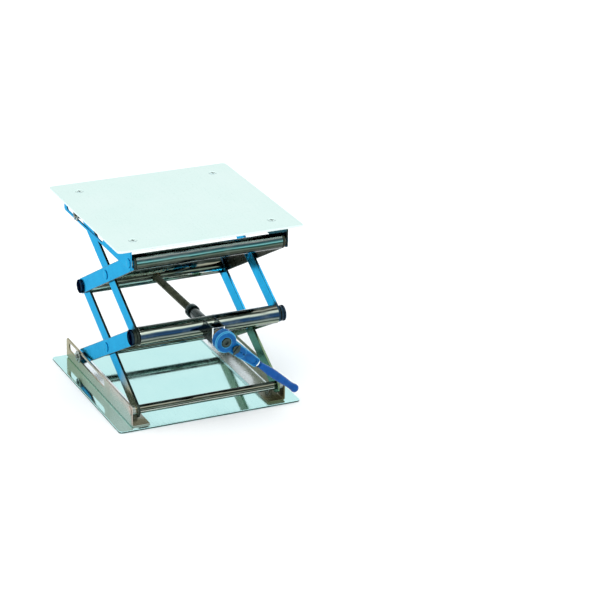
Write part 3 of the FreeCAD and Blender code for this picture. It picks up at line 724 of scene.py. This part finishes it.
def end_caps(node):
    """Domed discs on the ends of a middle bar's stubs, with a shallow turned ring."""
    low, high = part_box(node)
    middle = box_middle(node)
    radius = (high.z - low.z) / 2
    inner_x = high.x - 2.4 * MM
    dish_x = high.x - 0.35 * MM
    outline = [(inner_x, 0), (inner_x, radius), (high.x - 0.5 * MM, radius), (high.x, 0.82 * radius),
               (high.x, 0.52 * radius), (dish_x, 0.44 * radius), (dish_x, 0)]
    part = lathe_part(round_corners(outline, 0.45 * MM), "x", (0, middle.y, middle.z))
    return fit(node, [part, mirrored_x(part)], [navy_cap])


def crossing_rivets(node, place):
    """Flat domed rivets where inner and outer arms cross, clear of the arms as in the CAD."""
    head, cad_head = 0.7 * MM, 1.2 * MM
    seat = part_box(node)[1].x - cad_head
    steps = [(inner_arm_face - head, inner_arm_face, head_radius), (inner_arm_face, seat, pin_radius),
             (seat, seat + head, head_radius)]
    part = lathe_part(solid_profile(steps, 0.5 * MM, 5), "x", (0, place.y, place.z), segments=72)
    return fit(node, [part, mirrored_x(part)])


end_caps("front_bar_end_caps")
end_caps("rear_bar_end_caps")
crossing_rivets("lower_crossing_rivets", low_cross)
crossing_rivets("upper_crossing_rivets", high_cross)

spacer_radius, roller_radius, washer_radius = 5.0 * MM, 4.0 * MM, 7.0 * MM
for node, outer, places in (
    ("bottom_front_spacers", spacer_radius, [front_low]),
    ("top_front_spacers", spacer_radius, [front_high]),
    ("bottom_slide_spacers", spacer_radius, [rear_low]),
    ("top_slide_spacers", spacer_radius, [rear_high]),
    ("bottom_slide_rollers", roller_radius, [rear_low]),
    ("top_slide_rollers", roller_radius, [rear_high]),
    ("lower_arm_washers", washer_radius, [low_cross, rear_mid]),
    ("upper_arm_washers", washer_radius, [high_cross, front_mid]),
):
    right_x = [v.co.x for v in frame["nodes"][node].data.vertices if v.co.x > 0]
    rings = [(min(right_x), max(right_x), outer, p.y, p.z) for p in places]
    if "washers" in node:
        ring_pair(node, rings, pin_radius + PIVOT_GAP, painted_shade_edge)
    else:
        ring_pair(node, rings, pin_radius, slot_material[node_slot[node]])


# ---- sheet pieces ------------------------------------------------------------------------
def flat_place(u, v, w):
    """The arms, plates and yoke are drawn in X and Y, with their thickness along Z."""
    return Vector((u, v, w))


def scissor_arm(node, start, end, outer_looks, inner_looks):
    """A flat arm with round ends and pivot holes, its own X axis along its length."""
    low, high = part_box(node)
    thickness = high.x - low.x
    half_width = 8.0 * MM
    length = (end - start).length
    along = (end - start).normalized()
    across = Vector((0, -along.z, along.y))
    loops = [slot_loop(0, length, 0, half_width, 40)]
    loops += [circle_loop(u, 0, pin_radius + PIVOT_GAP, 36, hole=True) for u in (0, length / 2, length)]
    right = low.x > 0
    part = sheet_part(loops, -thickness / 2, thickness / 2, 0.35 * MM, flat_place, edge_slot=1,
                      side_slot=2 if right else 1, low_slot=2)
    high_looks, low_looks = (outer_looks, inner_looks) if right else (inner_looks, outer_looks)
    obj = fine(node, [part], [high_looks, painted_shade_edge, low_looks])
    even_normals(obj)
    turn = Matrix((along, across, Vector((1, 0, 0)))).transposed().to_4x4()
    obj.matrix_world = Matrix.Translation(((low.x + high.x) / 2, start.y, start.z)) @ turn
    return stand_for(obj, node)


# The last looks go on each arm's face turned into the jack and carry painted shade.
for side in ("left", "right"):
    scissor_arm("lower_inner_arm_" + side, front_low, rear_mid, tan_end_arm, half_shaded_arm)
    scissor_arm("lower_outer_arm_" + side, rear_low, front_mid, slot_material["arm_steel"], shaded_arm)
    scissor_arm("upper_outer_arm_" + side, front_high, rear_mid, slot_material["arm_steel"], painted_shadow_arm)
    scissor_arm("upper_inner_arm_" + side, rear_high, front_mid, painted_shade_end_arm, painted_shade_end_arm)


def square_plate(node, looks, cut_edge):
    """A square sheet with holes where its flush screws sit."""
    low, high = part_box(node)
    half = (high.x - low.x) / 2
    corner = 4.0 * MM
    run = half - corner
    screw_grid = 75.0 * MM
    outline = []
    for k, (side_u, side_v) in enumerate(((1, 1), (-1, 1), (-1, -1), (1, -1))):
        outline += arc(side_u * run, side_v * run, corner, 90 * k, 90, 12)
    holes = [circle_loop(side_u * screw_grid, side_v * screw_grid, 4.1 * MM, 40, hole=True)
             for side_u in (-1, 1) for side_v in (-1, 1)]
    part = sheet_part([outline] + holes, low.z, high.z, 0.4 * MM, flat_place, side_slot=1)
    return stand_for(even_normals(fine(node, [part], [looks, cut_edge])), node)


square_plate("base_plate", painted_shade_lower_plate, painted_shade_edge)
square_plate("top_plate", slot_material["plate_steel"], bright_edge)


def bent_rail(node):
    """A bent angle with a long slot, in place of a CAD rail."""
    low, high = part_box(node)
    right = low.x > 0
    base = low.z < cad_box[1].z / 2
    sheet, bend = 1.5 * MM, 2.5 * MM
    middle_radius = bend - sheet / 2
    flange_run = (high.x - low.x) - bend
    arc_run = middle_radius * math.pi / 2
    web_run = (high.z - low.z) - bend
    fold_steps = 6
    fold_us = [flange_run + arc_run * k / fold_steps for k in range(fold_steps + 1)]
    corner = 3.0 * MM
    corner_u = flange_run + arc_run + web_run - corner
    front, rear = low.y, high.y
    outline = [(0.0, front)] + [(u, front) for u in fold_us]
    outline += arc(corner_u, front + corner, corner, -90, 90, 8)
    outline += arc(corner_u, rear - corner, corner, 0, 90, 8)
    rear_start = len(outline)
    outline += [(u, rear) for u in reversed(fold_us)] + [(0.0, rear)]
    folds = [(1 + k, rear_start + fold_steps - k) for k in range(fold_steps + 1)]
    from_plate = (front_low.z - low.z) if base else (high.z - front_high.z)
    pivot_u = flange_run + arc_run + from_plate - bend
    slot_hole = [(pivot_u + v, u) for u, v in slot_loop(-14.0 * MM, 82.0 * MM, 0, 4.3 * MM)]
    axle_hole = circle_loop(pivot_u, front_low.y, pin_radius, 36, hole=True)

    def place(u, v, w):
        if u < flange_run:
            x, z = low.x + u, sheet / 2 - w
        elif u < flange_run + arc_run:
            turn = (u - flange_run) / middle_radius
            x = low.x + flange_run + (middle_radius + w) * math.sin(turn)
            z = bend - (middle_radius + w) * math.cos(turn)
        else:
            x = low.x + flange_run + middle_radius + w
            z = bend + (u - flange_run - arc_run)
        if not right:
            x = low.x + high.x - x
        z = low.z + z if base else high.z - z
        return Vector((x, v, z))

    part = sheet_part([outline, slot_hole, axle_hole], -sheet / 2, sheet / 2, 0.2 * MM, place, folds,
                      edge_slot=1, side_slot=2 if right else 0, low_slot=2, flip=right == base)
    outer_looks = slot_material[node_slot[node]]
    edge_looks, inner_looks = (brown_edge, painted_shade_inner_rail) if base else (painted_shade_edge, painted_shade_front_rail)
    return stand_for(even_normals(fine(node, [part], [outer_looks, edge_looks, inner_looks])), node)


for node in ("base_rail_left", "base_rail_right", "top_rail_left", "top_rail_right"):
    bent_rail(node)


# ---- spindle and its yoke ---------------------------------------------------------------------
spindle_axis = box_middle("lead_screw")
spindle_axis.y = 0
grip_middle = box_middle("lever_grip")
lever_angle = math.atan2(spindle_axis.z - grip_middle.z, grip_middle.x - spindle_axis.x)
THREAD_SHAPE = [(0.0, 0), (0.17, 0), (0.36, 1), (0.64, 1), (0.83, 0)]


def threaded_screw():
    """The lead screw: plain journal with a square drive, helical thread, turned-down tail."""
    low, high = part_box("lead_screw")
    pitch, depth = 2.0 * MM, 0.75 * MM
    thread_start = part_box("thrust_collar")[1].y + 2.0 * MM
    thread_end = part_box("screw_end_stop")[0].y - 0.6 * MM
    segments = 40
    crest, root = screw_radius - 0.02 * MM, screw_radius - depth
    steps = int((thread_end - thread_start) / pitch * segments)
    width = len(THREAD_SHAPE)
    points, faces = [], []
    for i in range(steps + segments + 1):
        turn = 2 * math.pi * i / segments
        base_y = thread_start + pitch * (i / segments - 1)
        for share, on_crest in THREAD_SHAPE:
            y, radius = base_y + share * pitch, crest if on_crest else root
            if y < thread_start or y > thread_end:
                y, radius = min(max(y, thread_start), thread_end), root
            points.append(spindle_axis + Vector((radius * math.sin(turn), y, radius * math.cos(turn))))
    for i in range(steps + segments):
        for k in range(width):
            a = i * width + k
            b = a + width
            if k < width - 1:
                faces.append((a, b, b + 1, a + 1))
            elif i < steps:
                c = (i + segments) * width
                faces.append((a, b, c + width, c))
    thread = points, faces, [0] * len(faces)
    overlap = 0.1 * MM
    tail_radius, drive = 3.0 * MM, 2.6 * MM
    plain_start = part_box("thrust_washer")[0].y - 6.0 * MM
    journal = solid_profile([(plain_start, thread_start, screw_radius)], 0.3 * MM)
    core = solid_profile([(thread_start - overlap, thread_end + overlap, root - 0.01 * MM),
                          (thread_end + overlap, high.y, tail_radius)], 0.2 * MM)
    turned = [lathe_part(profile, "y", spindle_axis, segments=64) for profile in (journal, core)]
    lever_turn = Matrix.Rotation(lever_angle, 3, "Y")
    square = [spindle_axis + lever_turn @ Vector((sx * drive, y, sz * drive))
              for y in (low.y, plain_start + 0.5 * MM) for sx, sz in ((-1, -1), (1, -1), (1, 1), (-1, 1))]
    square_faces = [(0, 1, 2, 3), (7, 6, 5, 4)] + [(k, 4 + k, 4 + (k + 1) % 4, (k + 1) % 4) for k in range(4)]
    parts = [thread] + turned + [(square, square_faces, [0] * 6)]
    return fit("lead_screw", parts, sharp_angle=30.0)


def thrust_collar():
    """The collar with its cross pin, both ends of which show."""
    collar = fine("thrust_collar", [y_ring("thrust_collar", 7.0 * MM, screw_radius, 0.5 * MM)])
    pin_low, pin_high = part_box("thrust_collar_pin")
    pin_centre = (0, (pin_low.y + pin_high.y) / 2, spindle_axis.z)
    carve(collar, [cylinder("x", -9 * MM, 9 * MM, 1.3 * MM, pin_centre, 32)])
    stand_for(collar, "thrust_collar")
    pin_profile = solid_profile([(screw_radius, pin_high.x, 1.25 * MM)], 0.3 * MM)
    pin = lathe_part(pin_profile, "x", pin_centre, segments=32)
    fit("thrust_collar_pin", [pin, mirrored_x(pin)])


def bearings():
    """The flanged bush in the yoke's face and the plain sleeve through the front bar."""
    bore = screw_radius + PIVOT_GAP
    low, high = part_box("yoke_bush")
    face_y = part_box("spindle_yoke")[0].y
    flange = 6.8 * MM
    profile = [(low.y, bore), (low.y, flange), (face_y, flange), (face_y, bush_radius), (high.y, bush_radius),
               (high.y, bore)]
    profile = round_corners(profile, 0.3 * MM, 3, closed=True)
    fit("yoke_bush", [lathe_part(profile, "y", spindle_axis, closed=True, segments=72)])
    sleeve = y_ring("spindle_sleeve", sleeve_radius - 0.01 * MM, bore, 0.4 * MM)
    fit("spindle_sleeve", [sleeve])


def yoke():
    """Bent bracket on the front of the bar, dark with a bright face."""
    low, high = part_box("spindle_yoke")
    side_sheet, front_sheet = 1.5 * MM, 2.0 * MM
    inner_y = low.y + front_sheet
    bar_low, bar_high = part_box("front_bar")
    bar_middle = box_middle("front_bar")
    loop = [(high.x, bar_middle.y), (high.x - side_sheet, bar_middle.y), (high.x - side_sheet, inner_y),
            (low.x + side_sheet, inner_y), (low.x + side_sheet, bar_middle.y), (low.x, bar_middle.y)]
    corner = 2.0 * MM
    loop += arc(low.x + corner, low.y + corner, corner, 180, 90, 8)
    loop += arc(high.x - corner, low.y + corner, corner, 270, 90, 8)
    part = sheet_part([loop], low.z, high.z, 0.3 * MM, flat_place)
    obj = fine("spindle_yoke", [part], [slot_material["yoke_steel"], bright_edge])
    bar_radius = (bar_high.z - bar_low.z) / 2 + 0.01 * MM
    reach = 20 * MM
    carve(obj, [
        cylinder("x", -reach, reach, bar_radius, (0, bar_middle.y, bar_middle.z), 128),
        cylinder("y", low.y - reach, low.y + 0.5 * reach, bush_radius, spindle_axis, 72),
    ])
    for face in obj.data.polygons:
        if face.normal.y < -0.3 and face.center.y < low.y + 1.2 * MM:
            face.material_index = 1
    return stand_for(even_normals(obj), "spindle_yoke")


bush_radius = 5.2 * MM
threaded_screw()
fit("screw_end_stop", [y_ring("screw_end_stop", 6.5 * MM, 3.0 * MM, 0.6 * MM)])
thrust_collar()
fit("thrust_washer", [y_ring("thrust_washer", 6.8 * MM, screw_radius, 0.25 * MM)])
bearings()
yoke()


# ---- ratchet lever, drawn along +X and turned down to the lever's angle -----------------------------
lever_matrix = Matrix.Translation(spindle_axis) @ Matrix.Rotation(lever_angle, 4, "Y")
body_low_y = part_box("ratchet_body")[0].y
body_high_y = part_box("ratchet_body")[1].y
cover_front_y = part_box("ratchet_cover")[0].y
pawl_x = (lever_matrix.inverted() @ joint_place["direction_select"]).x
ratchet_radius = 11.5 * MM
cavity_radius = 8.7 * MM
cavity_floor_y = body_high_y - 1.4 * MM
rear_bore = 5.06 * MM
shank_start, shank_end, grip_start = 8.0 * MM, 46.0 * MM, 50.0 * MM
shank_back_y = body_high_y - 1.0 * MM
shank_mid_y = (body_low_y + shank_back_y) / 2
tang_bore = 2.32 * MM
over = 5 * MM


def lever_piece(node, parts, looks=None):
    obj = even_normals(fine(node, parts, looks))
    obj.matrix_world = lever_matrix
    return stand_for(obj, node)


def keyhole(radius, half_start, half_end, end_x, tip_radius):
    """Outline of a disc about the origin with a tongue along +u, from shank_start on."""
    slope = (half_end - half_start) / (end_x - shank_start)
    u = radius
    for _ in range(60):
        half = half_start + slope * (u - shank_start)
        u = math.sqrt(max(radius ** 2 - half ** 2, 0))
    half = half_start + slope * (u - shank_start)
    tip_x, tip_v = end_x - tip_radius, half_end - tip_radius
    tip = arc(tip_x, -tip_v, tip_radius, -90, 90, 10) + arc(tip_x, tip_v, tip_radius, 0, 90, 10)
    first = math.degrees(math.atan2(half, u))
    return [(u, -half)] + tip + [(u, half)] + arc(0, 0, radius, first, 360 - 2 * first, 72)[1:-1]


def lever_place(u, v, w):
    """The lever's outlines are drawn in X and Z, with their thickness along Y."""
    return Vector((u, w, v))


def y_rod(radius, low, high, x=0.0):
    return cylinder("y", low, high, radius, (x, 0, 0))


def ratchet_body():
    """Head and shank with the wheel's and pawl's cavities, the head's back and the tang."""
    painted = [slot_material["ratchet_paint"]]
    outline = keyhole(ratchet_radius, 7.0 * MM, 5.0 * MM, shank_end, 2.5 * MM)
    body = sheet_part([outline], body_low_y, shank_back_y, 0.8 * MM, lever_place, steps=5, edge_slot=1,
                      flip=True)
    obj = fine("ratchet_body", [body], painted + [highlight_edge_paint])
    recess_loop = slot_loop(30.5 * MM, 40.5 * MM, 0, 3.0 * MM, 16)
    recess = sheet_part([recess_loop], body_low_y - over, body_low_y + 1.0 * MM, 0.05 * MM, lever_place,
                        flip=True)
    carve(obj, [y_rod(cavity_radius, body_low_y - over, cavity_floor_y),
                y_rod(5.2 * MM, body_low_y - over, cavity_floor_y, pawl_x),
                y_rod(rear_bore, cavity_floor_y - over, body_high_y + over), recess])
    profile = solid_profile([(shank_back_y - 1.0 * MM, body_high_y, ratchet_radius - 0.05 * MM)], 0.5 * MM)
    back = join_parts("ratchet_back", [lathe_part(profile, "y", (0, 0, 0))], painted)
    carve(back, [y_rod(cavity_radius, body_low_y, cavity_floor_y),
                 y_rod(rear_bore, body_low_y, body_high_y + over)])
    profile = solid_profile([(44.0 * MM, 90.0 * MM, 2.3 * MM)], 0.3 * MM)
    tang_part = lathe_part(profile, "x", (0, shank_mid_y, 0), segments=48)
    tang = join_parts("ratchet_tang", [tang_part], painted)
    for extra in (back, tang):
        extra.matrix_world = lever_matrix
        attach(extra, "ratchet_handle")
    even_normals(obj)
    obj.matrix_world = lever_matrix
    return stand_for(obj, "ratchet_body")


def ratchet_cover():
    outline = keyhole(ratchet_radius - 0.8 * MM, 5.8 * MM, 5.8 * MM, pawl_x + 13.8 * MM, 5.79 * MM)
    holes = [circle_loop(0, 0, 5.4 * MM, 64, hole=True), circle_loop(pawl_x, 0, 2.56 * MM, 36, hole=True)]
    part = sheet_part([outline] + holes, cover_front_y, body_low_y, 0.45 * MM, lever_place, steps=4,
                      edge_slot=1, flip=True)
    return lever_piece("ratchet_cover", [part], [slot_material["ratchet_paint"], highlight_edge_paint])


def direction_lever():
    """Round knob with a bar across its face."""
    low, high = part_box("direction_lever")
    face_y, radius = low.y + 1.2 * MM, 4.0 * MM
    profile = round_corners([(face_y, 0), (face_y, radius), (high.y, radius), (high.y, 0)], 0.6 * MM)
    knob = lathe_part(profile, "y", (pawl_x, 0, 0), segments=72)
    tab_loop = [(pawl_x - v, u) for u, v in slot_loop(-4.7 * MM, 4.7 * MM, 0, 1.3 * MM, 16)]
    tab = sheet_part([tab_loop], low.y, face_y + 0.3 * MM, 0.4 * MM, lever_place, steps=4, flip=True)
    return lever_piece("direction_lever", [knob, tab])


def smooth_curve(knots, count):
    """Points along a Catmull-Rom curve through (x, radius) knots."""
    knots = [Vector(k) for k in knots]
    ends = [2 * knots[0] - knots[1]] + knots + [2 * knots[-1] - knots[-2]]
    points = []
    for i in range(1, len(ends) - 2):
        p0, p1, p2, p3 = ends[i - 1:i + 3]
        for k in range(count):
            t = k / count
            points.append(0.5 * (2 * p1 + (p2 - p0) * t + (2 * p0 - 5 * p1 + 4 * p2 - p3) * t * t
                                 + (3 * p1 - p0 - 3 * p2 + p3) * t ** 3))
    return [tuple(p) for p in points]


def grip():
    """Swelling grip with a ball end, bored for the tang."""
    knots = [(50.0, 2.9), (56.0, 3.5), (68.0, 4.45), (84.0, 4.05), (94.0, 3.5), (99.5, 3.95)]
    ball_radius, ball_x = 4.38 * MM, 101.6 * MM
    bore_end = 90.05 * MM
    ball = [(ball_x + v, u) for u, v in arc(0, 0, ball_radius, -15, 105, 21)[:-1]]
    profile = [(bore_end, 0.0), (bore_end, tang_bore), (grip_start, tang_bore)]
    profile += [(x * MM, r * MM) for x, r in smooth_curve(knots, 10)] + ball + [(ball_x + ball_radius, 0.0)]
    return lever_piece("lever_grip", [lathe_part(profile, "x", (0, shank_mid_y, 0))])


def ferrule():
    """Ring between shank and grip, with two grooves."""
    outer, groove = 3.6 * MM, 3.3 * MM
    steps = [(46.0, outer), (47.4, outer), (47.7, groove), (48.0, outer), (48.7, outer), (49.0, groove),
             (49.3, outer), (50.0, outer)]
    profile = [(shank_end, tang_bore)] + [(x * MM, r) for x, r in steps] + [(grip_start, tang_bore)]
    profile = round_corners(profile, 0.15 * MM, 3, closed=True)
    part = lathe_part(profile, "x", (0, shank_mid_y, 0), closed=True, segments=72)
    return lever_piece("lever_ferrule", [part], [ferrule_looks])


ratchet_body()
ratchet_cover()
direction_lever()
grip()
ferrule()


# ---- CAD nodes that stay ------------------------------------------------------------------------------
for name, obj in frame["nodes"].items():
    if obj.hide_render:
        continue
    obj.data.materials.clear()
    looks = flush_screw if name == "top_plate_screws_and_nuts" else slot_material[node_slot[name]]
    obj.data.materials.append(looks)
    weld = obj.modifiers.new("weld", "WELD")
    weld.merge_threshold = 0.002 * MM
    edge = obj.modifiers.new("edge", "BEVEL")
    edge.width = 0.12 * MM
    edge.segments = 2
    edge.limit_method = "ANGLE"
    edge.angle_limit = math.radians(38)
    edge.harden_normals = False


# ---- floor, light and camera ----------------------------------------------------------------------------
def soft_floor():
    """Wide pale sheet just under the base plate."""
    half, count = 30.0, 24
    places = [half * (2 * i / count - 1) for i in range(count + 1)]
    points = [Vector((x, y, -0.2 * MM)) for x in places for y in places]
    corners = [i * (count + 1) + j for i in range(count) for j in range(count)]
    faces = [(a, a + count + 1, a + count + 2, a + 1) for a in corners]
    mat, tree, shader = new_material("floor_looks")
    plain = object_coords(tree, (1, 1, 1))
    grain = noise(tree, plain, 400.0, 3.0, 0.5)
    colour = blend_colours(tree, grain, (0.90, 0.905, 0.91), (0.86, 0.865, 0.87))
    tree.links.new(colour, shader.inputs["Base Color"])
    shader.inputs["Roughness"].default_value = 0.7
    shader.inputs["Specular IOR Level"].default_value = 0.1
    obj = mesh_object("studio_floor", points, faces, [mat])


soft_floor()


def studio_world():
    """Plain studio surroundings that only change with elevation, brighter at the top and the horizon."""
    world = bpy.data.worlds.new("studio")
    scene.world = world
    world.use_nodes = True
    tree = world.node_tree
    tree.nodes.clear()
    output = tree.nodes.new("ShaderNodeOutputWorld")
    background = tree.nodes.new("ShaderNodeBackground")
    coords = tree.nodes.new("ShaderNodeTexCoord")
    split = tree.nodes.new("ShaderNodeSeparateXYZ")
    ramp = tree.nodes.new("ShaderNodeValToRGB")
    tree.links.new(coords.outputs["Generated"], split.inputs["Vector"])
    tree.links.new(split.outputs["Z"], ramp.inputs["Fac"])
    tree.links.new(ramp.outputs["Color"], background.inputs["Color"])
    tree.links.new(background.outputs["Background"], output.inputs["Surface"])
    stops = [
        (0, (0.55, 0.60, 0.60)),
        (6, (0.55, 0.60, 0.60)),
        (10, (0.30, 0.335, 0.33)),
        (14, (0.32, 0.335, 0.33)),
        (18, (0.33, 0.335, 0.335)),
        (40, (0.36, 0.37, 0.37)),
        (60, (0.50, 0.51, 0.51)),
        (90, (0.75, 0.76, 0.76)),
    ]
    fill_ramp(ramp, [(math.sin(math.radians(degrees)), colour) for degrees, colour in stops])
    background.inputs["Strength"].default_value = 3.0


studio_world()


def soft_light(name, place, target, size, power):
    """A rectangular area light aimed at a point."""
    data = bpy.data.lights.new(name, "AREA")
    data.shape = "RECTANGLE"
    data.size, data.size_y = size
    data.energy = power
    obj = bpy.data.objects.new(name, data)
    obj.location = place
    obj.rotation_euler = (Vector(target) - Vector(place)).to_track_quat("-Z", "Y").to_euler()
    scene.collection.objects.link(obj)


soft_light("key", (-1.6, -1.4, 2.2), (0, 0, 0.1), (1.2, 0.8), 18.0)


def photo_camera():
    """Camera at the photograph's viewing angle, all lengths in metres."""
    place = Vector((-0.89903, -2.17112, 1.08021))
    aim = Vector((0.116085, -0.057597, 0.096044))
    roll = math.radians(-1.270)
    data = bpy.data.cameras.new("camera")
    data.sensor_width = 36.0
    data.lens = 147.747
    data.clip_start, data.clip_end = 0.05, 100.0
    obj = bpy.data.objects.new("camera", data)
    forward = (aim - place).normalized()
    side = forward.cross(Vector((0, 0, 1))).normalized()
    up = side.cross(forward) * math.cos(roll) + side * math.sin(roll)
    right = forward.cross(up)
    turn = Matrix((right, up, -forward)).transposed().to_4x4()
    obj.matrix_world = Matrix.Translation(place) @ turn
    scene.collection.objects.link(obj)
    scene.camera = obj


photo_camera()
scene.view_settings.view_transform = "Standard"
